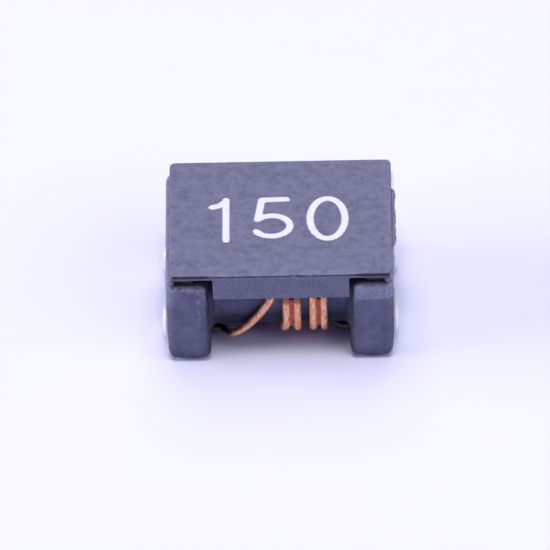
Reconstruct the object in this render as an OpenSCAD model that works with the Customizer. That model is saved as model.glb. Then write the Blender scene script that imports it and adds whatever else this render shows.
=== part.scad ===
// A shielded surface-mount inductor with two paired windings: a ferrite drum core,
// a ferrite cover plate glued on top, four tinned terminals and two enamelled wires.
// X runs along the core from flange to flange, -Y is the front, Z is up from the board.

/* [Core] */
// Length of the core over its two flanges
core_length = 9; // [8:0.1:11]
// Depth of the core, front to back
core_depth = 7; // [6.2:0.1:9]
// Height of the whole part above the board
part_height = 4.45; // [4.2:0.05:5.5]
// Thickness of a flange at its top
flange_thickness = 1.58; // [1.3:0.02:2]
// How much a flange's inner face slopes, so that its foot is thicker than its top
flange_draft = 0.19; // [0:0.01:0.3]
// How much a flange's outer face slopes inwards towards its foot
flange_taper = 0.06; // [0:0.01:0.12]
// Radius of the flanges' upright edges
flange_edge_radius = 0.4; // [0.1:0.02:0.5]
// Radius of a flange's inner top corner, seen from the front
flange_shoulder_radius = 0.26; // [0.1:0.02:0.4]
// Radius of a flange's other top edges
flange_top_radius = 0.06; // [0.03:0.01:0.2]
// Radius of a foot's corners, seen from the front
flange_foot_radius = 0.5; // [0.2:0.02:0.6]
// Radius of a foot's front and rear edge
flange_sole_radius = 0.3; // [0.1:0.02:0.4]

/* [Winding bar] */
// How far the bar lies behind the flanges, at the front and at the back
bar_setback = 0.96; // [0.7:0.02:1.4]
// Height of the bar's underside above the board
bar_bottom = 1.02; // [0.9:0.02:1.2]
// Radius of the bar's long edges
bar_edge_radius = 0.3; // [0.15:0.05:0.5]
// Width of the sloped collar where the bar meets a flange
collar = 0.16; // [0.05:0.01:0.2]
// Clearance between the windings on the bar and the plate's block above them
winding_gap = 0.17; // [0.05:0.01:0.4]

/* [Cover plate] */
// How far the plate's ends stay inside the core's ends
plate_inset = 0.1; // [0:0.02:0.4]
// How far the plate was glued off centre, to the right
plate_shift = 0.06; // [-0.15:0.01:0.15]
// Thickness of the plate over the flanges
lip_thickness = 0.24; // [0.16:0.02:0.4]
// How far the block under the plate drops between the flanges
block_drop = 0.98; // [0.6:0.01:1.05]
// Clearance between that block and each flange
block_clearance = 0.23; // [0.1:0.01:0.4]
// Size of the small bevel round the plate's top
plate_bevel = 0.03; // [0.02:0.01:0.15]
// Radius of the plate's upright corners
plate_corner_radius = 0.24; // [0.05:0.01:0.4]

/* [Adhesive] */
// Thickness of the glue between the plate and a flange
glue_thickness = 0.31; // [0.15:0.01:0.4]
// How far the glue stays back from the rounded edges of the joint
glue_setback = 0.12; // [0.02:0.02:0.2]
// Radius of the bead that was squeezed out along the right end
bead_radius = 0.16; // [0.1:0.01:0.2]
// Length of that bead, front to back
bead_length = 3.4; // [1:0.1:4]
// How far the bead's middle lies behind the part's middle
bead_shift = 0.32; // [-0.6:0.02:0.6]

/* [Terminals] */
// Distance from the front terminals' middle to the rear terminals' middle
terminal_pitch = 3.8; // [3.4:0.1:4.4]
// Width of a terminal strip
terminal_width = 1.7; // [1.4:0.1:2]
// Thickness of a terminal strip
terminal_thickness = 0.08; // [0.05:0.01:0.12]
// Height of a terminal on the core's end face
leaf_height = 1.6; // [1.55:0.05:2.2]
// Radius of the solder joint where it leaves the terminal
solder_radius = 0.66; // [0.5:0.01:0.68]
// How far the solder joint stands out from the terminal
solder_bulge = 0.15; // [0.1:0.01:0.3]
// Height of the solder joint's middle above the board
solder_height = 0.88; // [0.8:0.01:0.92]

/* [Windings] */
// Diameter of the enamelled wire
wire_diameter = 0.32; // [0.2:0.01:0.34]
// Clearance between a wire and what it lies on
wire_clearance = 0.02; // [0.01:0.01:0.05]
// Height of a wire's middle where it runs through a flange's groove
lead_height = 0.43; // [0.34:0.01:0.46]
// Place of the first pair's left wire on the front, from the middle
first_pair_x = 0.24; // [-0.2:0.02:0.4]
// Distance from one pair of wires to the next
pair_pitch = 1.06; // [0.9:0.02:1.1]
// Distance between the two wires of a pair
wire_pitch = 0.43; // [0.37:0.01:0.45]
// How far a turn moves along the bar on its way over the top
over_lead = 0.36; // [0.2:0.02:0.4]
// How far it moves on its way down the back
back_lead = 0.1; // [0:0.02:0.14]
// Place on the front where the lead-in wire turns over the bar
lead_top_x = -0.43; // [-0.8:0.01:-0.4]
// Slope of the lead-in wire there, in degrees
lead_top_slope = 63; // [55:1:70]
// Place where the lead-in wire comes up in front of the bar
lead_foot_x = -1.74; // [-1.9:0.02:-1.2]
// Height of that place above the board
lead_foot_height = 0.9; // [0.86:0.02:1.1]
// Slope of the lead-in wire at that place, in degrees
lead_foot_slope = 28; // [20:1:45]

/* [Hidden] */

arc_steps = 6;       // flat steps in a quarter of a rounded corner
wire_sides = 14;     // sides of a wire
ring_gap = 0.16;     // rings of a free stretch of wire lie about this far apart
far = 20;            // longer than any size of the part
nearly = 0.98;       // share of half a width that a rounded corner may take

flange_bottom = terminal_thickness;
plate_underside = part_height - lip_thickness;
flange_top = plate_underside - glue_thickness;
block_underside = plate_underside - block_drop;
half_length = core_length / 2;
half_depth = core_depth / 2;
half_plate = half_length - plate_inset;
plate_end = half_plate + plate_shift;
flange_inside = half_length - flange_thickness;
foot_inside = flange_inside - flange_draft;
foot_outside = half_length - flange_taper;

wire_radius = wire_diameter / 2;
wire_offset = wire_radius + wire_clearance;
bar_top = block_underside - winding_gap - wire_diameter - wire_clearance;
bar_half_depth = half_depth - bar_setback;
bend_radius = bar_edge_radius + wire_offset;
bend_y = bar_half_depth - bar_edge_radius;
bend_low = bar_bottom + bar_edge_radius;
bend_high = bar_top - bar_edge_radius;

terminal_y = terminal_pitch / 2;
groove_radius = wire_offset;
lead_straight = 0.24;  // how far a wire runs straight on, inside its flange

glue_corner = 0.2;    // largest radius of a glue layer's corners, seen from above
bead_sides = 16;      // sides of the squeezed-out bead
bead_rings = 26;      // stretches along its length, shorter towards its ends
bead_unevenness = 0.14;
bead_waves = 2.5;     // swellings along its length
bead_start = 60;      // angle at which its swelling starts
bead_tip = 0.3;       // share of its radius that is left at its very ends
bead_bluntness = 8;   // higher is blunter
dome_sides = 24;      // sides of a solder joint
dome_rings = 5;       // bands from its rim to its top
dome_rise = 87;       // angle of the last ring, which leaves a small flat top

over_clearance = 0.06;  // between the lead-in wire and the first pair, over the top

// How far the free stretches of wire reach straight on before they curve
reach_in_a = 0.5;
reach_up_a = 0.55;
reach_out_a = 0.6;
reach_in_b = 1.3;
reach_out_b = 1.1;
bend_share = 0.2;      // share of a turn's lead over the top that falls in its rear bend
reach_at_mouth = 0.6;  // share of that reach where a lead-out enters its groove
under_lean = 0.15;     // how far the rear lead-in still moves in its last bend

// Round corners of an outline

// Points of the arc that replaces the corner at b of the outline a, b, c
function corner(a, b, c, r) =
    let (
        u = (a - b) / norm(a - b),
        v = (c - b) / norm(c - b),
        half = acos(u * v) / 2,
        m = b + (u + v) / norm(u + v) * r / sin(half),
        p = b + u * r / tan(half) - m,
        q = b + v * r / tan(half) - m,
        start = atan2(p.y, p.x),
        turn = atan2(p.x * q.y - p.y * q.x, p * q)
    )
    [for (i = [0:arc_steps])
        let (angle = start + turn * i / arc_steps)
        m + r * [cos(angle), sin(angle)]];

// Outline through the points, with the radius that is given for each corner
function rounded(points, radii) =
    let (n = len(points))
    [for (i = [0:n - 1]) each
        radii[i] > 0
            ? corner(points[(i + n - 1) % n], points[i], points[(i + 1) % n], radii[i])
            : [points[i]]];

function rectangle(x0, x1, y0, y1) = [[x0, y0], [x1, y0], [x1, y1], [x0, y1]];

// Extrudes an outline drawn in X and Z along Y, or one drawn in Y and Z along X
module along_y(y0, y1) {
    translate([0, y1, 0]) rotate([90, 0, 0]) linear_extrude(y1 - y0) children();
}

module along_x(x0, x1) {
    translate([x0, 0, 0]) rotate([90, 0, 90]) linear_extrude(x1 - x0) children();
}

// Solid through rings of equally many points, closed by flat ends
module loft(rings) {
    n = len(rings);
    sides = len(rings[0]);
    function at(i, k) = i * sides + k % sides;
    faces = concat(
        [[for (k = [0:sides - 1]) at(0, k)]],
        [for (i = [0:n - 2], k = [0:sides - 1]) each [
            [at(i, k), at(i + 1, k), at(i + 1, k + 1)],
            [at(i, k), at(i + 1, k + 1), at(i, k + 1)]
        ]],
        [[for (k = [sides - 1:-1:0]) at(n - 1, k)]]
    );
    polyhedron([for (ring = rings) each ring], faces);
}

// Drum core

// Right flange seen from the front, with its bottom and outside grown by some thickness
function flange_front(grow = 0) = rounded(
    [
        [foot_inside, flange_bottom - grow],
        [foot_outside + grow, flange_bottom - grow],
        [half_length + grow, flange_top],
        [flange_inside, flange_top]
    ],
    [flange_foot_radius, flange_foot_radius + grow, flange_top_radius, flange_shoulder_radius]
);

module right_flange() {
    side = rectangle(-half_depth, half_depth, flange_bottom, flange_top);
    plan = rectangle(foot_inside - flange_edge_radius / 4, half_length, -half_depth, half_depth);
    intersection() {
        along_y(-half_depth, half_depth) polygon(flange_front());
        along_x(foot_inside, half_length)
            polygon(rounded(side, [
                flange_sole_radius, flange_sole_radius, flange_top_radius, flange_top_radius
            ]));
        linear_extrude(part_height)
            polygon(rounded(plan, [for (i = [0:3]) flange_edge_radius]));
    }
}

function bar_outline(grow) = rounded(
    rectangle(-bar_half_depth - grow, bar_half_depth + grow, bar_bottom - grow, bar_top + grow),
    [for (i = [0:3]) bar_edge_radius + grow]
);

module bar_collar() {
    hull() {
        along_x(foot_inside - collar, foot_inside) polygon(bar_outline(0));
        along_x(foot_inside, flange_inside) polygon(bar_outline(collar));
    }
}

// Groove through a flange's foot, open at the sole and round over the wire
module wire_groove(y) {
    slot = [
        [y - groove_radius, -far],
        [y + groove_radius, -far],
        [y + groove_radius, lead_height + groove_radius],
        [y - groove_radius, lead_height + groove_radius]
    ];
    round_top = groove_radius * nearly;
    along_x(0, far) polygon(rounded(slot, [0, 0, round_top, round_top]));
}

module half_core() {
    difference() {
        union() {
            right_flange();
            bar_collar();
        }
        for (side = [-1, 1]) wire_groove(side * terminal_y);
    }
}

module drum_core() {
    color("#4b4c5c") union() {
        half_core();
        mirror([1, 0, 0]) half_core();
        along_x(-flange_inside, flange_inside) polygon(bar_outline(0));
    }
}

// Cover plate

module cover_plate() {
    block_half = flange_inside - block_clearance;
    front = [
        [-block_half, block_underside],
        [block_half, block_underside],
        [block_half, plate_underside],
        [half_plate, plate_underside],
        [half_plate, part_height - plate_bevel],
        [half_plate - plate_bevel, part_height],
        [-half_plate + plate_bevel, part_height],
        [-half_plate, part_height - plate_bevel],
        [-half_plate, plate_underside],
        [-block_half, plate_underside]
    ];
    side = [
        [-half_depth, 0],
        [half_depth, 0],
        [half_depth, part_height - plate_bevel],
        [half_depth - plate_bevel, part_height],
        [-half_depth + plate_bevel, part_height],
        [-half_depth, part_height - plate_bevel]
    ];
    color("#56576b") translate([plate_shift, 0, 0]) intersection() {
        along_y(-half_depth, half_depth) polygon(front);
        along_x(-half_plate, half_plate) polygon(side);
        linear_extrude(part_height)
            polygon(rounded(
                rectangle(-half_plate, half_plate, -half_depth, half_depth),
                [for (i = [0:3]) plate_corner_radius]
            ));
    }
}

// Adhesive

glue_inside = flange_inside + flange_shoulder_radius + glue_setback;

module glue_layer(x0, x1) {
    half_width = half_depth - flange_top_radius - glue_setback;
    corner_radius = min(glue_corner, (x1 - x0) / 2 * nearly);
    translate([0, 0, flange_top]) linear_extrude(glue_thickness)
        polygon(rounded(
            rectangle(x0, x1, -half_width, half_width),
            [for (i = [0:3]) corner_radius]
        ));
}

module plate_adhesive_left() {
    outside = min(half_length - flange_top_radius, half_plate - plate_shift) - glue_setback;
    color("#26262e") glue_layer(-outside, -glue_inside);
}

// Uneven bead that bulges out of the joint at the right end
module glue_bead() {
    middle = [
        min(plate_end, half_length),
        bead_shift,
        (flange_top + plate_underside) / 2
    ];
    rings = [for (i = [0:bead_rings])
        let (
            along = -cos(180 * i / bead_rings),
            swell = 1 + bead_unevenness * sin(180 * bead_waves * along + bead_start),
            blunt = sqrt(1 - abs(along) ^ bead_bluntness),
            r = bead_radius * swell * (bead_tip + (1 - bead_tip) * blunt)
        )
        [for (k = [0:bead_sides - 1])
            let (angle = -360 * k / bead_sides)
            middle + [r * cos(angle), along * bead_length / 2, r * sin(angle)]]];
    difference() {
        loft(rings);
        along_y(-far, far) polygon(flange_front());
        translate([plate_end - far, -far, plate_underside]) cube([far, 2 * far, far]);
    }
}

module plate_adhesive_right() {
    outside = min(half_length - flange_top_radius, plate_end);
    color("#1d1d24") union() {
        glue_layer(glue_inside, outside);
        glue_bead();
    }
}

// Terminals, drawn for the right end and mirrored for the left one

module place(left, rear) {
    mirror([left ? 1 : 0, 0, 0]) translate([0, (rear ? 1 : -1) * terminal_y, 0]) children();
}

// Outer face of a terminal's leaf at some height
function leaf_x(z) = half_length + terminal_thickness
    - flange_taper * (flange_top - z) / (flange_top - flange_bottom + terminal_thickness);

// Where a wire's end lies flush with the leaf
wire_end_x = leaf_x(lead_height - wire_radius);

// Room for the wire, from inside the foot's corner outwards
module wire_hole(outside) {
    along_x(half_length - flange_foot_radius, outside)
        translate([0, lead_height])
            circle(groove_radius, $fn = 24);
}

// Strip under the foot and up the end face, with a round hole for the wire
module terminal(left, rear) {
    foot_start = foot_inside + flange_foot_radius;
    color("#c9ccd4") place(left, rear) difference() {
        intersection() {
            along_y(-terminal_width / 2, terminal_width / 2) polygon(flange_front(terminal_thickness));
            translate([foot_start, -far, 0]) cube([far, 2 * far, leaf_height]);
        }
        along_y(-far, far) polygon(flange_front());
        wire_hole(far);
    }
}

module terminal_front_left() { terminal(true, false); }
module terminal_front_right() { terminal(false, false); }
module terminal_rear_left() { terminal(true, true); }
module terminal_rear_right() { terminal(false, true); }

// Solder joint: a low dome on the terminal, over the end of the wire
module solder(left, rear) {
    base = leaf_x(solder_height);
    skirt = flange_foot_radius / 2;  // reaches into the foot's rounded corner
    rings = concat(
        [[for (k = [0:dome_sides - 1]) let (angle = 360 * k / dome_sides)
            [base - skirt, solder_radius * cos(angle), solder_height + solder_radius * sin(angle)]]],
        [for (i = [0:dome_rings]) let (rise = dome_rise * i / dome_rings)
            [for (k = [0:dome_sides - 1]) let (angle = 360 * k / dome_sides, r = solder_radius * cos(rise))
                [base + solder_bulge * sin(rise), r * cos(angle), solder_height + r * sin(angle)]]]
    );
    color("#e4e6ec") place(left, rear) difference() {
        loft(rings);
        along_y(-far, far) polygon(flange_front(terminal_thickness));
        wire_hole(wire_end_x);
    }
}

module solder_front_left() { solder(true, false); }
module solder_front_right() { solder(false, false); }
module solder_rear_left() { solder(true, true); }
module solder_rear_right() { solder(false, true); }

// Windings
// A wire climbs the front, crosses the top, goes down the back and returns underneath.
// Its bends round the bar's edges are numbered 0 front top, 1 back top, 2 back foot, 3 front foot.

function bend(edge, x0, x1) =
    let (
        y = edge == 1 || edge == 2 ? bend_y : -bend_y,
        z = edge < 2 ? bend_high : bend_low
    )
    [for (i = [0:arc_steps])
        let (angle = 180 - 90 * edge - 90 * i / arc_steps)
        [x0 + (x1 - x0) * i / arc_steps, y + bend_radius * cos(angle), z + bend_radius * sin(angle)]];

// One turn from the front's top edge to the front's bottom edge of the next turn, and up again
function over_and_down(x0, x1, x2) = concat(
    bend(0, x0, x1),
    bend(1, x1 + over_lead * (1 - bend_share), x1 + over_lead),
    bend(2, x1 + over_lead + back_lead, x1 + over_lead + back_lead),
    x2 == undef ? [] : bend(3, x2, x2)
);

// Free stretch from point a along direction da to point b along direction db
function free_wire(a, da, b, db) =
    let (n = ceil(norm(b - a) / ring_gap), p = a + da, q = b - db)
    [for (i = [1:n - 1])
        let (t = i / n, s = 1 - t)
        s ^ 3 * a + 3 * s ^ 2 * t * p + 3 * s * t ^ 2 * q + t ^ 3 * b];

// Where a wire enters a flange's groove, and where it ends under the solder joint
function on_lead(x, left, rear) = [left ? -x : x, rear ? terminal_y : -terminal_y, lead_height];
function mouth(left, rear) = on_lead(foot_inside - lead_straight, left, rear);
function wire_end(left, rear) = on_lead(wire_end_x, left, rear);

// Joins the lead-in, the turns and the lead-out with two free stretches
function wound(start_rear, reach_in, turns, reach_out, end_rear) =
    let (
        first = turns[0],
        last = turns[len(turns) - 1],
        goes_in = (turns[1] - first) / norm(turns[1] - first),
        goes_out = (last - turns[len(turns) - 2]) / norm(last - turns[len(turns) - 2]),
        exit = mouth(false, end_rear)
    )
    concat(
        [wire_end(true, start_rear), mouth(true, start_rear)],
        free_wire(mouth(true, start_rear), [reach_in, 0, 0], first, goes_in * reach_in),
        turns,
        free_wire(last, goes_out * reach_out, exit, [reach_out * reach_at_mouth, 0, 0]),
        [exit, wire_end(false, end_rear)]
    );

second_pair_x = first_pair_x + pair_pitch;
lead_over_x = first_pair_x - wire_diameter - over_clearance;
last_over_x = second_pair_x + wire_pitch + over_lead;
front_y = -bar_half_depth - wire_offset;
lead_foot = [lead_foot_x, front_y, lead_foot_height];
lead_top = [lead_top_x, front_y, bend_high];

// How the lead-in wire reaches up across the front where its slope is known
function rising(slope) = reach_up_a * [cos(slope), 0, sin(slope)];

// From the front left terminal up across the front, round the bar, to the rear right terminal
route_a = wound(
    false, reach_in_a,
    concat(
        [lead_foot],
        free_wire(lead_foot, rising(lead_foot_slope), lead_top, rising(lead_top_slope)),
        over_and_down(lead_top_x, lead_over_x, first_pair_x + wire_pitch),
        over_and_down(first_pair_x + wire_pitch, first_pair_x + wire_pitch, second_pair_x + wire_pitch),
        bend(0, second_pair_x + wire_pitch, second_pair_x + wire_pitch),
        bend(1, last_over_x - over_lead * bend_share, last_over_x),
        [[last_over_x + back_lead, -front_y, bend_low]]
    ),
    reach_out_a, true
);

// From the rear left terminal under the bar, round it beside the other wire, to the front right one
route_b = wound(
    true, reach_in_b,
    concat(
        bend(3, first_pair_x - under_lean, first_pair_x),
        over_and_down(first_pair_x, first_pair_x, second_pair_x),
        over_and_down(second_pair_x, second_pair_x, undef)
    ),
    reach_out_b, false
);

// Direction of a route at each of its points
function tangents(route) =
    let (last = len(route) - 1)
    [for (i = [0:last])
        let (step = route[min(i + 1, last)] - route[max(i - 1, 0)])
        step / norm(step)];

// Part of v that is square to the unit direction t, at length 1
function squared(v, t) = let (w = v - (v * t) * t) w / norm(w);

// A tube along a route, whose rings are carried from point to point without twist
module tube(route) {
    t = tangents(route);
    n = len(route);
    u = [for (i = 0, v = squared([0, 0, 1], t[0]); i < n; i = i + 1, v = i < n ? squared(v, t[i]) : v) v];
    loft([for (i = [0:n - 1])
        [for (k = [0:wire_sides - 1])
            let (angle = 360 * k / wire_sides)
            route[i] + wire_radius * (cos(angle) * u[i] + sin(angle) * cross(t[i], u[i]))]]);
}

module winding_a() { color("#c9805f") tube(route_a); }
module winding_b() { color("#b9714f") tube(route_b); }

drum_core();
cover_plate();
plate_adhesive_left();
plate_adhesive_right();
terminal_front_left();
terminal_front_right();
terminal_rear_left();
terminal_rear_right();
solder_front_left();
solder_front_right();
solder_rear_left();
solder_rear_right();
winding_a();
winding_b();
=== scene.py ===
"""Looks of a shielded surface-mount inductor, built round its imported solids.

X runs along the core, -Y is the front and Z is up. Scene sizes are in metres. Meshes are shaped in
millimetres and scaled down when they are done.
"""

import math

import bmesh
import bpy
import numpy as np
from mathutils import Matrix, Vector, noise


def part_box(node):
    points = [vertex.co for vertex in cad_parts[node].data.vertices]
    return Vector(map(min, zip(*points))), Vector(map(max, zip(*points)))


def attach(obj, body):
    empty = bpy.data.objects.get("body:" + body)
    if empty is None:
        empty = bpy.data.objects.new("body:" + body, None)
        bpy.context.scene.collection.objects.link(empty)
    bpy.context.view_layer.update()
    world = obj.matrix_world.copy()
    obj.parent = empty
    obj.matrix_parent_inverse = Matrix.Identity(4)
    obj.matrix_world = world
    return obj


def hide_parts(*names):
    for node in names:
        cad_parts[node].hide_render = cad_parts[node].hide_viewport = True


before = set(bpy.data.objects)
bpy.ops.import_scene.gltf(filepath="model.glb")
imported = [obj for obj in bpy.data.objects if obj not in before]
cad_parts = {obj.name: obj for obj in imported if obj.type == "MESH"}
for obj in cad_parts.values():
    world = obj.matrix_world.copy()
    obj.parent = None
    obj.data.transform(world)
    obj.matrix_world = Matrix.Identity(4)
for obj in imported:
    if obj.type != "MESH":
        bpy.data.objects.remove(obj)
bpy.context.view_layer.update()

MM = 0.001

# Places on the part, in millimetres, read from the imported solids


def box_mm(node):
    low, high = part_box(node)
    return np.array(low) / MM, np.array(high) / MM


PLATE_LOW, PLATE_HIGH = box_mm("cover_plate")
PLATE_TOP = PLATE_HIGH[2]
PLATE_FRONT = PLATE_LOW[1]
CORE_HIGH = box_mm("drum_core")[1]
CORE_END = round(CORE_HIGH[0], 2)
LEG_TOP = CORE_HIGH[2]
GLUE_LOW, GLUE_HIGH = box_mm("plate_adhesive_left")
BEAD_END = box_mm("plate_adhesive_right")[1][0]  # how far the squeezed-out glue reaches along X

# The wires and what they lie on, as in the part's source

WIRE_DIAMETER = 0.32
WIRE_CLEARANCE = 0.02
FIRST_PAIR_X = 0.24  # the first pair's left wire
WIRE_PITCH = 0.43
PAIR_PITCH = 1.06
PAIRS = [FIRST_PAIR_X + WIRE_PITCH / 2 + i * PAIR_PITCH for i in range(2)]  # middle of each pair
WIRE_FRONT = round(box_mm("winding_a")[0][1], 2)
BAR_FRONT = WIRE_FRONT + WIRE_DIAMETER + WIRE_CLEARANCE


# Meshes

JOIN_DISTANCE = 0.0005  # corners closer than this are joined


def new_object(name, mesh):
    piece = bpy.data.objects.new(name, mesh)
    bpy.context.scene.collection.objects.link(piece)
    return piece


def solid_of(node):
    """The node's solid as an editable mesh in millimetres, with its split edges joined."""
    shape = bmesh.new()
    shape.from_mesh(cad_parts[node].data)
    bmesh.ops.scale(shape, vec=(1 / MM,) * 3, verts=shape.verts)
    bmesh.ops.remove_doubles(shape, verts=shape.verts, dist=JOIN_DISTANCE)
    return shape


def even_mesh(name, shape, cell):
    """One closed mesh of small even faces through everything in the shape, in millimetres."""
    mesh = bpy.data.meshes.new(name)
    shape.to_mesh(mesh)
    shape.free()
    rough = new_object(name + ".rough", mesh)
    remesh = rough.modifiers.new("even", "REMESH")
    remesh.mode = "VOXEL"
    remesh.voxel_size = cell
    evaluated = rough.evaluated_get(bpy.context.evaluated_depsgraph_get())
    result = bpy.data.meshes.new_from_object(evaluated)
    result.name = name
    bpy.data.objects.remove(rough)
    bpy.data.meshes.remove(mesh)
    return result


def points_of(mesh):
    points = np.empty(len(mesh.vertices) * 3)
    mesh.vertices.foreach_get("co", points)
    return points.reshape(-1, 3)


def normals_of(mesh):
    normals = np.empty(len(mesh.vertices) * 3)
    mesh.vertices.foreach_get("normal", normals)
    return normals.reshape(-1, 3)


def set_points(mesh, points):
    mesh.vertices.foreach_set("co", points.ravel())
    mesh.update()


def averaged(mesh, points, rounds):
    """The points after some rounds of moving halfway to the mean of their neighbours."""
    edges = np.empty(len(mesh.edges) * 2, np.int64)
    mesh.edges.foreach_get("vertices", edges)
    a, b = edges.reshape(-1, 2).T
    count = np.bincount(edges, minlength=len(points))[:, None]
    for _ in range(rounds):
        total = np.stack([
            np.bincount(a, points[b, axis], len(points))
            + np.bincount(b, points[a, axis], len(points))
            for axis in range(points.shape[1])
        ], axis=1)
        points = (points + total / count) / 2
    return points


def waves(points, size, octaves=2, seed=0.0):
    """Smooth noise from about -1 to 1 at each point, with lumps of about that size."""
    shift = Vector((seed, 1.7 * seed, -0.6 * seed))
    return np.array([noise.fractal(Vector(p) / size + shift, 1.0, 2.0, octaves) for p in points])


def rising(values, start, span):
    """0 up to the start, 1 from one span further on, and even in between."""
    return np.clip((values - start) / span, 0, 1)


def mark(mesh, name, values):
    """Keeps one number for each vertex, which the materials read by name."""
    kept = mesh.attributes.new(name, "FLOAT", "POINT")
    kept.data.foreach_set("value", values.astype(np.float32))


def finished(name, mesh, material, nodes):
    """Scales a mesh to metres and makes it a piece of the part that stands for the nodes."""
    mesh.transform(Matrix.Scale(MM, 4))
    mesh.polygons.foreach_set("use_smooth", [True] * len(mesh.polygons))
    mesh.update()
    piece = new_object(name, mesh)
    mesh.materials.clear()
    mesh.materials.append(material)
    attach(piece, "root")
    if nodes:
        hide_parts(*nodes)
    return piece


# Materials


def shader(name, **even):
    """A material with one Principled shader, and the even values set on its own sockets."""
    material = bpy.data.materials.new(name)
    material.use_nodes = True
    surface = material.node_tree.nodes["Principled BSDF"]
    for socket, value in even.items():
        surface.inputs[socket.replace("_", " ")].default_value = value
    return material.node_tree, surface, material


def add(tree, kind, inputs, **settings):
    """A node of that kind. An input is a value or another node's output."""
    made = tree.nodes.new("ShaderNode" + kind)
    for name, value in settings.items():
        setattr(made, name, value)
    for name, value in inputs.items():
        if isinstance(value, bpy.types.NodeSocket):
            tree.links.new(value, made.inputs[name])
        else:
            made.inputs[name].default_value = value
    return made


def millimetres(tree):
    """The place on the object, in millimetres, for patterns."""
    coordinates = add(tree, "TexCoord", {})
    inputs = {0: coordinates.outputs["Object"], 1: (1 / MM,) * 3}
    return add(tree, "VectorMath", inputs, operation="MULTIPLY").outputs[0]


def computed(tree, operation, a, b=0.0):
    """A Math node's result. ABSOLUTE uses only the first value."""
    return add(tree, "Math", {0: a, 1: b}, operation=operation).outputs[0]


def pattern(tree, place, size, detail=3.0, roughness=0.6):
    """Noise from 0 to 1 with lumps of about that size in millimetres."""
    return add(tree, "TexNoise", {
        "Vector": place, "Scale": 1 / size, "Detail": detail, "Roughness": roughness
    }).outputs["Fac"]


def ranged(tree, value, low, high, out_low=0.0, out_high=1.0):
    return add(tree, "MapRange", {
        "Value": value, "From Min": low, "From Max": high, "To Min": out_low, "To Max": out_high
    }).outputs["Result"]


def mixed(tree, share, a, b):
    """Colour a where the share is 0 and colour b where it is 1."""
    made = add(tree, "Mix", {0: share}, data_type="RGBA")
    for socket, colour in ((6, a), (7, b)):
        if isinstance(colour, bpy.types.NodeSocket):
            tree.links.new(colour, made.inputs[socket])
        else:
            made.inputs[socket].default_value = (*colour, 1)
    return made.outputs[2]


def layered(tree, tone, layers):
    """Lays colours over a tone, each by a pattern.

    A layer holds its pattern, the pattern's values at which it starts and at which it is full, its
    share there, and its colour.
    """
    for value, start, full, share, colour in layers:
        tone = mixed(tree, ranged(tree, value, start, full, 0.0, share), tone, colour)
    return tone


def times(colour, factor):
    return [factor * part for part in colour]


def kept_value(tree, name):
    """What mark() kept under that name."""
    return add(tree, "Attribute", {}, attribute_name=name).outputs["Fac"]


def bumped(tree, surface, heights):
    """Adds bumps to a shader. Each height is a pattern and its depth in millimetres."""
    normal = None
    for value, depth in heights:
        inputs = {"Height": value, "Distance": depth * MM, "Strength": 1.0}
        if normal is not None:
            inputs["Normal"] = normal
        normal = add(tree, "Bump", inputs).outputs["Normal"]
    tree.links.new(normal, surface.inputs["Normal"])


def finish_shader(tree, surface, tone, roughness, heights=()):
    tree.links.new(tone, surface.inputs["Base Color"])
    tree.links.new(roughness, surface.inputs["Roughness"])
    if heights:
        bumped(tree, surface, heights)


def clouded(name, size, tones, spread, gloss, depth=0.0, **even):
    """A plain material whose tone, roughness and height follow the same soft clouds.

    The spread holds the pattern's values for the first and the second tone. The gloss holds two
    more values and the roughness at each.
    """
    tree, surface, material = shader(name, **even)
    clouds = pattern(tree, millimetres(tree), size)
    tone = mixed(tree, ranged(tree, clouds, *spread), *tones)
    heights = [(clouds, depth)] if depth else []
    finish_shader(tree, surface, tone, ranged(tree, clouds, *gloss), heights)
    return material


SHADE_LINE_Z = PLATE_TOP - 0.065  # middle of the painted shadow line under the plate's front top edge
SHADE_LINE_LEFT = 0.055  # half its width at the left end, in its middle, and what the right end adds
SHADE_LINE_MIDDLE = 0.025
SHADE_LINE_RIGHT = 0.05
SHADE_LINE_LEFT_PART = (-3.0, -2.6)  # where its width passes from the left end's to the middle's
SHADE_LINE_RIGHT_PART = (2.9, 3.3)
SHADE_LINE_UNEVEN = 0.01
SHADE_LINE_SOFT = 0.012
STREAK_ANGLE = math.radians(38)  # of the faint streaks that were wiped across the ferrite
# The middle, dark and light tones of each ferrite
CORE_TONES = (0.16, 0.162, 0.272), (0.132, 0.134, 0.24), (0.235, 0.237, 0.348)
PLATE_TONES = (0.131, 0.134, 0.217), (0.107, 0.11, 0.185), (0.202, 0.205, 0.292)
SPECK_LIGHT, WEAR_LIGHT, SMEAR_AND_PAINTED_LIGHT = 1.7, 1.2, 1.65  # times the light tone
# the second and third darken painted shade: in gaps and hollows, and in the line under the plate's
# front top edge
PORE_DARK, PAINTED_SHADE_DARK, SHADE_LINE_DARK = 0.5, 0.2, 0.3  # times the dark tone


def shade_line(tree, place):
    """1 in the painted shadow line under the plate's front top edge and 0 elsewhere."""
    split = add(tree, "SeparateXYZ", {0: place})
    x, y, z = (split.outputs[axis] for axis in "XYZ")
    along = add(tree, "CombineXYZ", {0: x}).outputs[0]
    uneven = ranged(tree, pattern(tree, along, 0.5, 2.0), 0.3, 0.7, -SHADE_LINE_UNEVEN, SHADE_LINE_UNEVEN)
    left = ranged(tree, x, *SHADE_LINE_LEFT_PART, SHADE_LINE_LEFT, SHADE_LINE_MIDDLE)
    right = ranged(tree, x, *SHADE_LINE_RIGHT_PART, 0.0, SHADE_LINE_RIGHT)
    reach = computed(tree, "ADD", computed(tree, "ADD", left, right), uneven)
    off = computed(tree, "ABSOLUTE", computed(tree, "SUBTRACT", z, SHADE_LINE_Z))
    inside = ranged(tree, computed(tree, "SUBTRACT", reach, off), -SHADE_LINE_SOFT, SHADE_LINE_SOFT)
    at_front = ranged(tree, y, PLATE_FRONT + 0.04, PLATE_FRONT + 0.07, 1.0, 0.0)
    return computed(tree, "MULTIPLY", inside, at_front)


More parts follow.
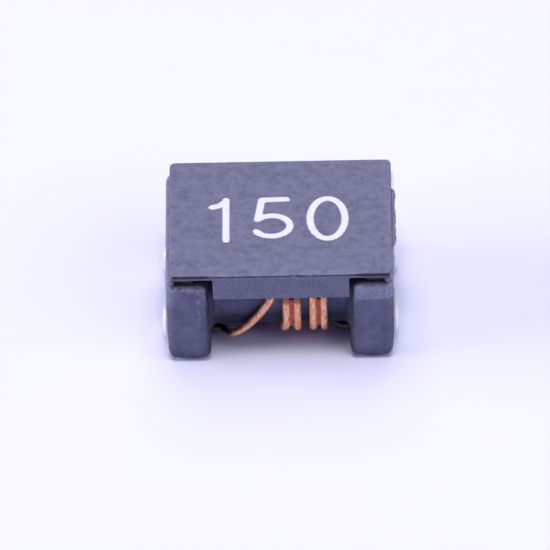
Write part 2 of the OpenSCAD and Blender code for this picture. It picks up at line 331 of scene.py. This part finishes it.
def ferrite(name, tones, with_shade_line=False):
    """Pressed ferrite: mottled, finely grained and paler along worn edges."""
    middle, dark, light = tones
    tree, surface, material = shader(name, Specular_IOR_Level=0.35)
    place = millimetres(tree)
    clouds = pattern(tree, place, 1.1, 5.0, 0.68)
    blotches = pattern(tree, place, 0.4, 2.0, 0.5)
    grain = pattern(tree, place, 0.16, 2.0, 0.6)
    specks = pattern(tree, place, 0.06, 1.0, 0.5)
    pores = pattern(tree, place, 0.09, 1.0, 0.5)
    bend = add(tree, "TexNoise", {"Vector": place, "Scale": 1.2, "Detail": 2.0}).outputs["Color"]
    bent = add(tree, "VectorMath", {0: place, 1: bend}).outputs[0]
    slanted = add(tree, "Mapping", {
        "Vector": bent, "Rotation": (0, 0, STREAK_ANGLE), "Scale": (0.35, 1.5, 1)
    }).outputs[0]
    streaks = pattern(tree, slanted, 0.4, 4.0, 0.7)
    tone = mixed(tree, ranged(tree, clouds, 0.38, 0.62), dark, middle)
    tone = layered(tree, tone, (
        (streaks, 0.48, 0.68, 0.45, light),
        (blotches, 0.4, 0.62, 0.45, light),
        (grain, 0.45, 0.75, 0.6, light),
        (specks, 0.68, 0.76, 0.6, times(light, SPECK_LIGHT)),
        (pores, 0.28, 0.2, 0.6, times(dark, PORE_DARK)),
        (kept_value(tree, "wear"), 0.1, 0.9, 0.7, times(light, WEAR_LIGHT)),
    ))
    # paler rough smears, together with painted light on some faces
    grit = ranged(tree, pattern(tree, place, 0.1, 3.0, 0.75), 0.4, 0.58, 0.25, 1.0)
    smear_and_painted_light = computed(tree, "MULTIPLY", kept_value(tree, "smear_and_painted_light"), grit)
    tone = mixed(tree, smear_and_painted_light, tone, times(light, SMEAR_AND_PAINTED_LIGHT))
    # painted shade
    tone = mixed(tree, kept_value(tree, "painted_shade"), tone, times(dark, PAINTED_SHADE_DARK))
    # a painted shadow line under the plate's front top edge
    if with_shade_line:
        tone = mixed(tree, shade_line(tree, place), tone, times(dark, SHADE_LINE_DARK))
    roughness = ranged(tree, grain, 0.3, 0.7, 0.62, 0.8)
    finish_shader(tree, surface, tone, roughness, [(grain, 0.011), (blotches, 0.012)])
    return material


COPPER_TONES = (0.78, 0.3, 0.145), (0.95, 0.5, 0.31)
COPPER_SCRATCH = (1.0, 0.8, 0.56)
COPPER_DIRT = (0.35, 0.1, 0.05)
LEAD_SHADE_START, LEAD_SHADE_END = 1.6, 2.2  # from the middle out, where the leads' painted shade starts and is full
LEAD_SHADE_TOP, LEAD_SHADE_FULL = 1.1, 0.8  # heights where that starts and is full
# colour of the painted shade on the leads
LEAD_SHADE_TONE = (0.13, 0.07, 0.05)
BROWN_REACH, BROWN_FULL = 0.46, 0.38  # how far from its middle the first pair is browned
BROWN_START, BROWN_TOP = 2.3, 2.45  # heights where that starts and is full
BROWN_SHARE = 0.85
BROWN_TONE = (0.3, 0.08, 0.055)


def copper():
    """Enamelled copper wire with scratches and dirt.

    Low down near the solder joints it is painted dark as shade, and it is brown at the top of the
    first pair's front.
    """
    tree, surface, material = shader(
        "enamelled copper", Metallic=1.0, Coat_Weight=0.4, Coat_Roughness=0.15,
        Specular_IOR_Level=0.5
    )
    place = millimetres(tree)
    streaks = pattern(tree, place, 0.4, 4.0, 0.65)
    fine = pattern(tree, place, 0.07, 2.0)
    upright = add(tree, "Mapping", {"Vector": place, "Scale": (1, 1, 0.35)}).outputs[0]
    scrapes = pattern(tree, upright, 0.09, 3.0, 0.65)
    tone = mixed(tree, ranged(tree, streaks, 0.35, 0.65), *COPPER_TONES)
    tone = layered(tree, tone, (
        (scrapes, 0.53, 0.66, 0.95, COPPER_SCRATCH), (scrapes, 0.44, 0.32, 0.9, COPPER_DIRT)
    ))
    split = add(tree, "SeparateXYZ", {0: place})
    x, z = split.outputs["X"], split.outputs["Z"]
    # painted shade on the leads low down near the solder joints
    lead_shade = computed(
        tree, "MULTIPLY",
        ranged(tree, computed(tree, "ABSOLUTE", x), LEAD_SHADE_START, LEAD_SHADE_END),
        ranged(tree, z, LEAD_SHADE_TOP, LEAD_SHADE_FULL)
    )
    tone = mixed(tree, lead_shade, tone, LEAD_SHADE_TONE)
    aside = computed(tree, "ABSOLUTE", computed(tree, "SUBTRACT", x, PAIRS[0]))
    browned = computed(
        tree, "MULTIPLY",
        ranged(tree, aside, BROWN_REACH, BROWN_FULL),
        ranged(tree, z, BROWN_START, BROWN_TOP, 0.0, BROWN_SHARE)
    )
    tone = mixed(tree, browned, tone, BROWN_TONE)
    finish_shader(tree, surface, tone, ranged(tree, streaks, 0.3, 0.7, 0.4, 0.58), [(fine, 0.012)])
    return material


# colours of the painted reflection between a pair's wires
REFLECTION_FILM_TONES = (0.64, 0.125, 0.07), (0.9, 0.22, 0.13)
SOLDER_TONES = (0.8, 0.8, 0.84), (0.93, 0.93, 0.95)
CLEAR_TONES = (0.72, 0.72, 0.8), (0.92, 0.92, 0.97)
TIN_TONES = (0.5, 0.5, 0.52), (0.68, 0.68, 0.7)
GLUE_TONES = (0.008, 0.007, 0.008), (0.03, 0.026, 0.026)
DUST_TONES = (0.13, 0.125, 0.19), (0.36, 0.345, 0.46)
INK_TONES = (0.62, 0.63, 0.73), (0.79, 0.79, 0.84)
INK_THICK = (0.82, 0.82, 0.86)


def reflection_film():
    """A red film between the wires of a pair, painted as their reflection of each other."""
    return clouded(
        "reflection_film", 0.15, REFLECTION_FILM_TONES, (0.35, 0.65), (0.3, 0.7, 0.3, 0.5), 0.01,
        Specular_IOR_Level=0.5
    )


def soldered():
    """Pale frosted solder."""
    return clouded(
        "solder", 0.3, SOLDER_TONES, (0.35, 0.65), (0.35, 0.7, 0.3, 0.5), 0.015, Metallic=0.7
    )


def clear_glue():
    """Whitish glue."""
    return clouded(
        "clear adhesive", 0.2, CLEAR_TONES, (0.3, 0.7), (0.3, 0.7, 0.25, 0.45),
        Specular_IOR_Level=0.5
    )


def tinned():
    """Dull tinned strip."""
    tree, surface, material = shader("tin plating", Metallic=1.0)
    place = millimetres(tree)
    clouds = pattern(tree, place, 0.5)
    fine = pattern(tree, place, 0.05)
    tone = mixed(tree, ranged(tree, clouds, 0.35, 0.65), *TIN_TONES)
    roughness = ranged(tree, clouds, 0.3, 0.7, 0.3, 0.5)
    finish_shader(tree, surface, tone, roughness, [(fine, 0.004), (clouds, 0.01)])
    return material


def black_glue():
    """Black epoxy in the joint, grey where it took up ferrite dust."""
    tree, surface, material = shader("adhesive", Specular_IOR_Level=0.4)
    place = millimetres(tree)
    clouds = pattern(tree, place, 0.25)
    grit = pattern(tree, place, 0.08, 2.0, 0.7)
    tone = mixed(tree, ranged(tree, clouds, 0.3, 0.7), *GLUE_TONES)
    dusty = mixed(tree, ranged(tree, grit, 0.35, 0.65), *DUST_TONES)
    tone = mixed(tree, kept_value(tree, "dust"), tone, dusty)
    roughness = ranged(tree, clouds, 0.3, 0.7, 0.2, 0.45)
    finish_shader(tree, surface, tone, roughness, [(clouds, 0.02), (grit, 0.01)])
    return material


def ink():
    """White printing ink, a little thin in places."""
    tree, surface, material = shader("marking ink", Specular_IOR_Level=0.35)
    place = millimetres(tree)
    fine = pattern(tree, place, 0.08)
    lines = pattern(tree, place, 0.4)
    tone = mixed(tree, ranged(tree, fine, 0.3, 0.5), *INK_TONES)
    tone = layered(tree, tone, ((lines, 0.6, 0.75, 0.5, INK_THICK),))
    finish_shader(tree, surface, tone, ranged(tree, fine, 0.3, 0.7, 0.45, 0.7), [(fine, 0.006)])
    return material


# Ferrite pieces

CORE_CELL = 0.06  # each CELL is the side of the faces of an even mesh
PLATE_CELL = 0.05
CHIP = (0.59, PLATE_FRONT, PLATE_TOP - 0.05, 0.16, 0.05)  # x, y, z, radius, depth
PIT = (PLATE_HIGH[0] - 0.29, PLATE_FRONT + 0.17, PLATE_TOP, 0.06, 0.05)
BAR_BUMP = (-2.1, BAR_FRONT, 2.18, 0.14, -0.05)
CORE_EROSION = 0.03  # how far a sharp edge is eroded at most
PLATE_EROSION = 0.012
WEAR_DEPTH = 0.05  # how far a sharp edge stands out from its smoothed place
NEAR_ROUNDS, FAR_ROUNDS = 14, 60  # rounds of averaging that find edges, and what lies near them
UNEVEN = 0.003  # how far the faces wave in and out
SMEAR_THICK = 0.012  # how far the rough places stand out

SMEAR_BOTTOM = LEG_TOP - 0.81  # the rough band on the right leg's front starts at this height
SMEAR_LEFT = 3.0
CORNER_X, CORNER_Z = CORE_END - 0.3, LEG_TOP - 0.5  # the left leg's rubbed corner starts here
RIM_X = 2.9  # the legs' crumbling top rims start here, and this far below the top
RIM_HEIGHT = 0.3
INNER_RIM_X = -3.22  # middle of the left leg's crumbling inner edge, which is also painted paler as light its rounded edge catches, and its lower end
INNER_RIM_Z = 1.7
END_X, END_Z = CORE_END - 0.1, LEG_TOP - 0.8  # the right end's upper part, painted paler as a highlight, starts here
BAR_END = 3.0  # half the bar's length, and a little more than half its depth
BAR_SIDE = 0.16 - BAR_FRONT
BAR_SHADE_Z = 1.95  # the bar is painted paler above this height, as light, and darker below it, as shade
INNER_FACE_END = 3.6  # the legs' inner faces end here
JOINT_HEIGHT = 0.13  # the legs get painted shade this far down from the joint with the glue
# how dark each painted shade is
BAR_DARK, INNER_DARK, JOINT_DARK, RIM_DARK, FOOT_DARK = 0.9, 0.65, 0.75, 0.3, 0.2
MOST_DARK = 0.95


def dented(points, normals, dents):
    """Pushes points inwards round each dent, or outwards where its depth is below zero."""
    for x, y, z, radius, depth in dents:
        distance = np.linalg.norm(points - (x, y, z), axis=1)
        points = points - normals * (depth * np.exp(-(distance / radius) ** 2))[:, None]
    return points


def worn(mesh, most, dents):
    """Gives a ferrite mesh its uneven faces and edges that are eroded at most that far.

    Returns its points and normals, how worn each point is, two noises, and how rounded its
    surroundings are.
    """
    points = points_of(mesh)
    normals = normals_of(mesh)
    convex = ((points - averaged(mesh, points, NEAR_ROUNDS)) * normals).sum(axis=1)
    broad = ((points - averaged(mesh, points, FAR_ROUNDS)) * normals).sum(axis=1)
    edge = np.clip(convex / WEAR_DEPTH, 0, 1)
    coarse = waves(points, 0.7, 3)
    fine = waves(points, 0.16, 2, 5)
    depth = edge * most * np.clip(0.2 + coarse + 0.4 * fine, 0.1, 1) - UNEVEN * (coarse + fine)
    points = dented(points - normals * depth[:, None], normals, dents)
    set_points(mesh, points)
    wide = np.clip(broad / WEAR_DEPTH, 0, 1) ** 0.7
    wear = np.clip(wide * (0.65 + 0.9 * fine + 0.4 * coarse), 0, 1)
    return points, normals, wear, coarse, fine, wide


def core():
    mesh = even_mesh("ferrite_core", solid_of("drum_core"), CORE_CELL)
    points, normals, wear, coarse, fine, wide = worn(mesh, CORE_EROSION, [BAR_BUMP])
    x, y, z = points.T
    outwards = np.abs(x)

    # Rough, paler places on the legs, which also stand out a little
    on_front = rising(-normals[:, 1], 0.3, 0.3)
    band = rising(z, SMEAR_BOTTOM, 0.06) * rising(x, SMEAR_LEFT, 0.1)
    corner = rising(z - 0.3 * coarse, CORNER_Z, 0.15) * rising(-x, CORNER_X, 0.1)
    top_rim = rising(z, LEG_TOP - RIM_HEIGHT, 0.08) * rising(outwards, RIM_X, 0.1)
    # the inner rim is rough and also carries painted light on its rounded edge
    inner_rim = rising(-np.abs(x - INNER_RIM_X), -0.12, 0.12) * rising(z, INNER_RIM_Z, 0.6)
    crumbs = np.maximum(top_rim, inner_rim) * np.clip(0.25 + 1.6 * fine, 0, 1)
    smear_and_painted_light = on_front * np.clip(np.maximum.reduce([
        band * (1.1 + 0.8 * fine), corner * (0.6 + 1.2 * fine), crumbs
    ]), 0, 1)
    set_points(mesh, points + normals * (SMEAR_THICK * smear_and_painted_light * (1 + fine))[:, None])
    # painted highlight on the right end's upper part
    right_end_highlight = rising(x, END_X, 0.04) * rising(z, END_Z, 0.3)

    # Places inside the gap, in the joint, round the legs' edges and at their feet, which are
    # painted darker as shade
    on_bar = rising(-outwards, -BAR_END, 0.2) * rising(-np.abs(y), -BAR_SIDE, 0.1)
    upper = np.clip((z + 0.15 * coarse - BAR_SHADE_Z) / 0.5, -1, 1)
    inner = rising(-np.sign(x) * normals[:, 0], 0.15, 0.5) * rising(-outwards, -INNER_FACE_END, 0.1)
    in_joint = (
        rising(z - 0.05 * fine, LEG_TOP - JOINT_HEIGHT, 0.06) * rising(-outwards, PLATE_LOW[0], 0.1)
    )
    rim = wide * rising(-z, -3.2, 0.5)
    foot = rising(-z, -0.9, 0.9)
    dark = np.maximum.reduce([
        BAR_DARK * on_bar * np.clip(0.2 - upper, 0, 1), INNER_DARK * inner, JOINT_DARK * in_joint
    ])
    mark(mesh, "painted_shade", np.clip(dark + RIM_DARK * rim + FOOT_DARK * foot, 0, MOST_DARK))
    # painted light on the bar's upper part
    bar_painted_light = on_bar * np.clip(upper, 0, 1)
    mark(mesh, "smear_and_painted_light", np.maximum.reduce([smear_and_painted_light, 0.4 * right_end_highlight, 0.4 * bar_painted_light]))
    mark(mesh, "wear", wear * np.clip((z - 2.4) / 0.8, 0.2, 1))
    material = ferrite("core ferrite", CORE_TONES)
    return finished("ferrite_core", mesh, material, ["drum_core"])


def plate():
    mesh = even_mesh("ferrite_plate", solid_of("cover_plate"), PLATE_CELL)
    points, normals, wear = worn(mesh, PLATE_EROSION, [CHIP, PIT])[:3]
    mark(mesh, "wear", wear * np.clip(0.6 + 0.3 * (points[:, 0] + 2), 0.25, 0.6))
    mark(mesh, "smear_and_painted_light", 0.5 * rising(-np.abs(normals[:, 2]), -0.7, 0.2))  # painted light on upright faces
    mark(mesh, "painted_shade", 0.75 * rising(-normals[:, 2], 0.5, 0.3))  # painted shade on faces that look down
    material = ferrite("plate ferrite", PLATE_TONES, with_shade_line=True)
    return finished("ferrite_plate", mesh, material, ["cover_plate"])


# Adhesive

GLUE_CELL = 0.03
GAP_MIDDLE = (LEG_TOP + GLUE_HIGH[2]) / 2  # height of the middle of the joint under the plate
BEAD_X = BEAD_END - 0.18
LUMPS = (  # y, z, radius and length along Y of each lump of the squeezed-out bead
    (1.72, -0.02, 0.17, 0.34), (1.25, 0.01, 0.16, 0.3), (0.78, 0.0, 0.13, 0.3),
    (0.1, 0.0, 0.17, 0.36), (-0.42, -0.01, 0.18, 0.34), (-0.85, 0.0, 0.15, 0.22),
    (-1.2, 0.01, 0.12, 0.2),
)
CLEAR_LUMPS = ((2.25, 0.3, 0.1), (2.65, 0.34, 0.08), (2.95, 0.14, 0.06))  # y, length and radius
BLOB_X = 0.09 - GLUE_LOW[0]  # of the dusty blob at the front of each outer end
BLOB_Y = GLUE_LOW[1] - 0.04
BLOB_SIZES = (0.16, 0.12, 0.18)
DUSTY_X = -0.1 - GLUE_LOW[0]  # beyond this, and near the front, the glue is full of ferrite dust
DUSTY_Y = GLUE_LOW[1] + 0.27
DUSTY_SPAN = 0.06
BEAD_DUST = 0.8  # how dusty the squeezed-out bead is


def ball(shape, centre, sizes):
    """Adds a stretched ball to a shape."""
    place = Matrix.Translation(centre) @ Matrix.Diagonal((*sizes, 1))
    bmesh.ops.create_icosphere(shape, subdivisions=3, radius=1, matrix=place)


def glue(name, shape, node, material):
    """Glue between plate and flange, whose front outer end has picked up dust."""
    for side in (-1, 1):
        ball(shape, (side * BLOB_X, BLOB_Y, GAP_MIDDLE), BLOB_SIZES)
    far_side = [v for v in shape.verts if v.co.x * (1 if "right" in node else -1) < 0]
    bmesh.ops.delete(shape, geom=far_side, context="VERTS")
    mesh = even_mesh(name, shape, GLUE_CELL)
    points = averaged(mesh, points_of(mesh), 2)
    outwards, y = np.abs(points[:, 0]), points[:, 1]
    dust = rising(outwards, DUSTY_X, DUSTY_SPAN) * rising(-y, -DUSTY_Y, DUSTY_SPAN)
    dust = np.maximum(dust, BEAD_DUST * rising(outwards, PLATE_HIGH[0], 0.04))
    roughness = 0.012 * waves(points, 0.25) + 0.02 * dust * waves(points, 0.09, 2, 4)
    set_points(mesh, points + normals_of(mesh) * roughness[:, None])
    mark(mesh, "dust", dust)
    finished(name, mesh, material, [node])


def adhesives():
    black = black_glue()
    glue("glue_left", solid_of("plate_adhesive_left"), "plate_adhesive_left", black)
    shape = solid_of("plate_adhesive_right")
    for y, up, radius, reach in LUMPS:
        ball(shape, (BEAD_X, y, GAP_MIDDLE + up), (radius, reach, radius))
    glue("glue_right", shape, "plate_adhesive_right", black)

    shape = bmesh.new()
    for y, reach, radius in CLEAR_LUMPS:
        ball(shape, (BEAD_X + 0.02, y, GAP_MIDDLE + 0.06), (radius, reach, radius))
    clear = even_mesh("glue_clear", shape, GLUE_CELL / 2)
    finished("glue_clear", clear, clear_glue(), [])


# Terminals and solder

STRIP_CELL = 0.025
STRIP_UNEVEN = 0.004
SOLDER_CELL = 0.025
SOLDER_UNEVEN = 0.015
SOLDER_OUT = 0.012  # gives back about what the smoothing takes off


def terminals():
    tin, bright = tinned(), soldered()
    for end in ("front_left", "front_right", "rear_left", "rear_right"):
        strip = even_mesh("strip_" + end, solid_of("terminal_" + end), STRIP_CELL)
        points = averaged(strip, points_of(strip), 1)
        points += normals_of(strip) * (STRIP_UNEVEN * waves(points, 0.4))[:, None]
        points[:, 2] = np.maximum(points[:, 2], 0)
        set_points(strip, points)
        finished("strip_" + end, strip, tin, ["terminal_" + end])
        drop = even_mesh("joint_" + end, solid_of("solder_" + end), SOLDER_CELL)
        points = averaged(drop, points_of(drop), 6)
        outwards = SOLDER_OUT + SOLDER_UNEVEN * waves(points, 0.35, 2, 3)
        set_points(drop, points + normals_of(drop) * outwards[:, None])
        finished("joint_" + end, drop, bright, ["solder_" + end])


# Windings

SWELL = 0.008  # the wires' rounding takes about this much off their radius again
REFLECTION_FILM_CELL = 0.02
REFLECTION_FILM_Y, REFLECTION_FILM_Z = BAR_FRONT - 0.105, 1.85  # middle of the red film of painted reflection between a pair's wires
REFLECTION_FILM_SIZES = (0.17, 0.23, 1.35)
REFLECTION_FILM_UNEVEN = 0.015


def windings():
    metal = copper()
    for letter in "ab":
        shape = solid_of("winding_" + letter)
        bmesh.ops.join_triangles(
            shape, faces=shape.faces, angle_face_threshold=math.pi, angle_shape_threshold=math.pi
        )
        shape.normal_update()
        for corner in shape.verts:
            corner.co += SWELL * corner.normal
        mesh = bpy.data.meshes.new("wire_" + letter)
        shape.to_mesh(mesh)
        shape.free()
        wire = finished(
            "wire_" + letter, mesh, metal, ["winding_" + letter]
        )
        fine = wire.modifiers.new("round", "SUBSURF")
        fine.levels = fine.render_levels = 1
    # red films painted as the reflection of each pair's wires in each other
    red = reflection_film()
    for i, middle in enumerate(PAIRS):
        shape = bmesh.new()
        place = Matrix.Translation((middle, REFLECTION_FILM_Y, REFLECTION_FILM_Z))
        sizes = Matrix.Diagonal((*REFLECTION_FILM_SIZES, 1))
        bmesh.ops.create_cube(shape, size=1, matrix=place @ sizes)
        web = even_mesh(f"varnish_{i}", shape, REFLECTION_FILM_CELL)
        points = averaged(web, points_of(web), 4)
        points += normals_of(web) * (REFLECTION_FILM_UNEVEN * waves(points, 0.2))[:, None]
        set_points(web, points)
        finished(f"varnish_{i}", web, red, [])


# Print

INK_CELL = 0.025
INK_UNEVEN = 0.012
STROKE = 0.275  # width of the strokes
DIGIT_HEIGHT = 2.7
INK_DEPTH = 0.008
PRINT_Y = -0.1  # middle of the digits
DRAWN_DEPTH = 0.2  # the strokes are drawn this thick and flattened later
TOOTH_PITCH = 0.11  # the printing screen leaves fine teeth along the strokes
TOOTH_DEPTH = 0.028


def arc(cx, cy, rx, ry, start, end, steps=40):
    """Points along part of an ellipse, with angles in degrees."""
    angles = [math.radians(start + (end - start) * i / steps) for i in range(steps + 1)]
    return [(cx + rx * math.cos(a), cy + ry * math.sin(a)) for a in angles]


HALF = (DIGIT_HEIGHT - STROKE) / 2
ONE = [
    [(0.26, -HALF), (0.26, HALF)],
    [(0.22, HALF - 0.1), (0.0, HALF - 0.34), (-0.28, HALF - 0.42)],
]
FIVE = [
    [(0.5, HALF), (-0.47, HALF - 0.02), (-0.64, 0.0)],
    [(-0.64, 0.0)] + arc(-0.08, -0.4, 0.72, 0.62, 128, -148),
]
ZERO = [arc(0, 0, 0.69, HALF, 0, 360, 80)]
PRINT = ((-2.35, ONE), (-0.2, FIVE), (1.93, ZERO))  # middle of each digit along X, and its strokes


def stroke_blocks(shape, line):
    """Adds short round-ended blocks along a line, which the remeshing joins."""
    for (x0, y0), (x1, y1) in zip(line, line[1:]):
        length = math.hypot(x1 - x0, y1 - y0)
        turn = Matrix.Rotation(math.atan2(y1 - y0, x1 - x0), 4, "Z")
        place = Matrix.Translation(((x0 + x1) / 2, (y0 + y1) / 2, 0)) @ turn
        sizes = Matrix.Diagonal((length, STROKE, DRAWN_DEPTH, 1))
        bmesh.ops.create_cube(shape, size=1, matrix=place @ sizes)
        for x, y in ((x0, y0), (x1, y1)):
            bmesh.ops.create_cone(
                shape, cap_ends=True, segments=20, radius1=STROKE / 2, radius2=STROKE / 2,
                depth=DRAWN_DEPTH, matrix=Matrix.Translation((x, y, 0))
            )


def digits():
    white = ink()
    for i, (middle, lines) in enumerate(PRINT):
        shape = bmesh.new()
        for line in lines:
            stroke_blocks(shape, line)
        mesh = even_mesh(f"digit_{i}", shape, INK_CELL)
        points = points_of(mesh)
        normals = normals_of(mesh)
        teeth = np.sin(points[:, :2] * 2 * math.pi / TOOTH_PITCH)[:, ::-1]
        uneven = INK_UNEVEN * waves(points, 0.12)[:, None]
        points[:, :2] += normals[:, :2] * (TOOTH_DEPTH * teeth + uneven)
        points[:, 2] = PLATE_TOP + points[:, 2] / DRAWN_DEPTH * INK_DEPTH
        set_points(mesh, points + (middle, PRINT_Y, 0))
        finished(f"digit_{i}", mesh, white, [])


# Floor, lights and camera

PICTURE = 550  # pixels along each side of the photograph
AZIMUTH, ELEVATION, ROLL = -0.94, 40.79, -1.65  # of the view, in degrees
DISTANCE = 0.5
LENS = 824.9
SENSOR = 36.0
AIM = Vector((0, 0, 0.0022))
AIM_PIXEL = (280.0, 260.7)  # where the photograph shows the aim


def camera():
    a, e, r = (math.radians(angle) for angle in (AZIMUTH, ELEVATION, ROLL))
    ahead = Vector((math.sin(a) * math.cos(e), math.cos(a) * math.cos(e), -math.sin(e)))
    level = Vector((math.cos(a), -math.sin(a), 0))
    upright = level.cross(ahead)
    right = math.cos(r) * level + math.sin(r) * upright
    up = math.cos(r) * upright - math.sin(r) * level
    pixel = DISTANCE * SENSOR / LENS / PICTURE
    aside = (PICTURE / 2 - AIM_PIXEL[0]) * pixel
    above = (AIM_PIXEL[1] - PICTURE / 2) * pixel
    lens = bpy.data.cameras.new("camera")
    lens.lens = LENS
    lens.sensor_width = SENSOR
    lens.clip_start = DISTANCE / 100
    holder = new_object("camera", lens)
    turn = Matrix((right, up, -ahead)).transposed().to_4x4()
    place = AIM + aside * right + above * up - DISTANCE * ahead
    holder.matrix_world = Matrix.Translation(place) @ turn
    bpy.context.scene.camera = holder


LAMPS = (  # name, place, watts and side of each square lamp
    ("above", (0, 0, 0.42), 0.65, 0.3),
    ("key", (0, -0.08, 0.42), 0.45, 0.1),
    ("behind", (0, 0.26, 0.33), 0.46, 0.3),
    ("left", (-0.4, -0.02, 0.12), 1.33, 0.3),
    ("right", (0.4, -0.02, 0.12), 0.22, 0.3),
    ("front right", (0.26, -0.16, 0.28), 0.47, 0.3),
)
ROOM = (0.03, 0.03, 0.2)  # what little light comes from elsewhere, blue as the photograph's shadows


def lights():
    for name, place, watts, side in LAMPS:
        lamp = bpy.data.lights.new(name, "AREA")
        lamp.shape = "SQUARE"
        lamp.size = side
        lamp.energy = watts
        holder = new_object(name, lamp)
        holder.location = place
        holder.rotation_euler = (-Vector(place)).to_track_quat("-Z", "Y").to_euler()
    world = bpy.data.worlds.new("room")
    world.use_nodes = True
    world.node_tree.nodes["Background"].inputs["Color"].default_value = (*ROOM, 1)
    bpy.context.scene.world = world
    bpy.context.scene.view_settings.view_transform = "Standard"


FLOOR_HALF = 1.5  # half the floor's side, in metres
FLOOR_CLOUD = 60  # size of its faint clouds, in millimetres
FLOOR_TONES = (0.815, 0.81, 0.985), (0.83, 0.825, 0.995)
FLOOR_BOUNCE = (0.4, 0.4, 0.5)  # what the floor throws back onto the part, darker than it looks


def floor():
    corners = [(FLOOR_HALF * x, FLOOR_HALF * y, 0) for x, y in ((-1, -1), (1, -1), (1, 1), (-1, 1))]
    mesh = bpy.data.meshes.new("floor")
    mesh.from_pydata(corners, [], [(0, 1, 2, 3)])
    tree, surface, material = shader("pale floor", Roughness=0.7, Specular_IOR_Level=0.2)
    tone = mixed(tree, pattern(tree, millimetres(tree), FLOOR_CLOUD), *FLOOR_TONES)
    bounced = add(tree, "LightPath", {}).outputs["Is Diffuse Ray"]
    tone = mixed(tree, bounced, tone, FLOOR_BOUNCE)
    tree.links.new(tone, surface.inputs["Base Color"])
    mesh.materials.append(material)
    new_object("floor", mesh)


camera()
lights()
floor()
core()
plate()
adhesives()
terminals()
windings()
digits()
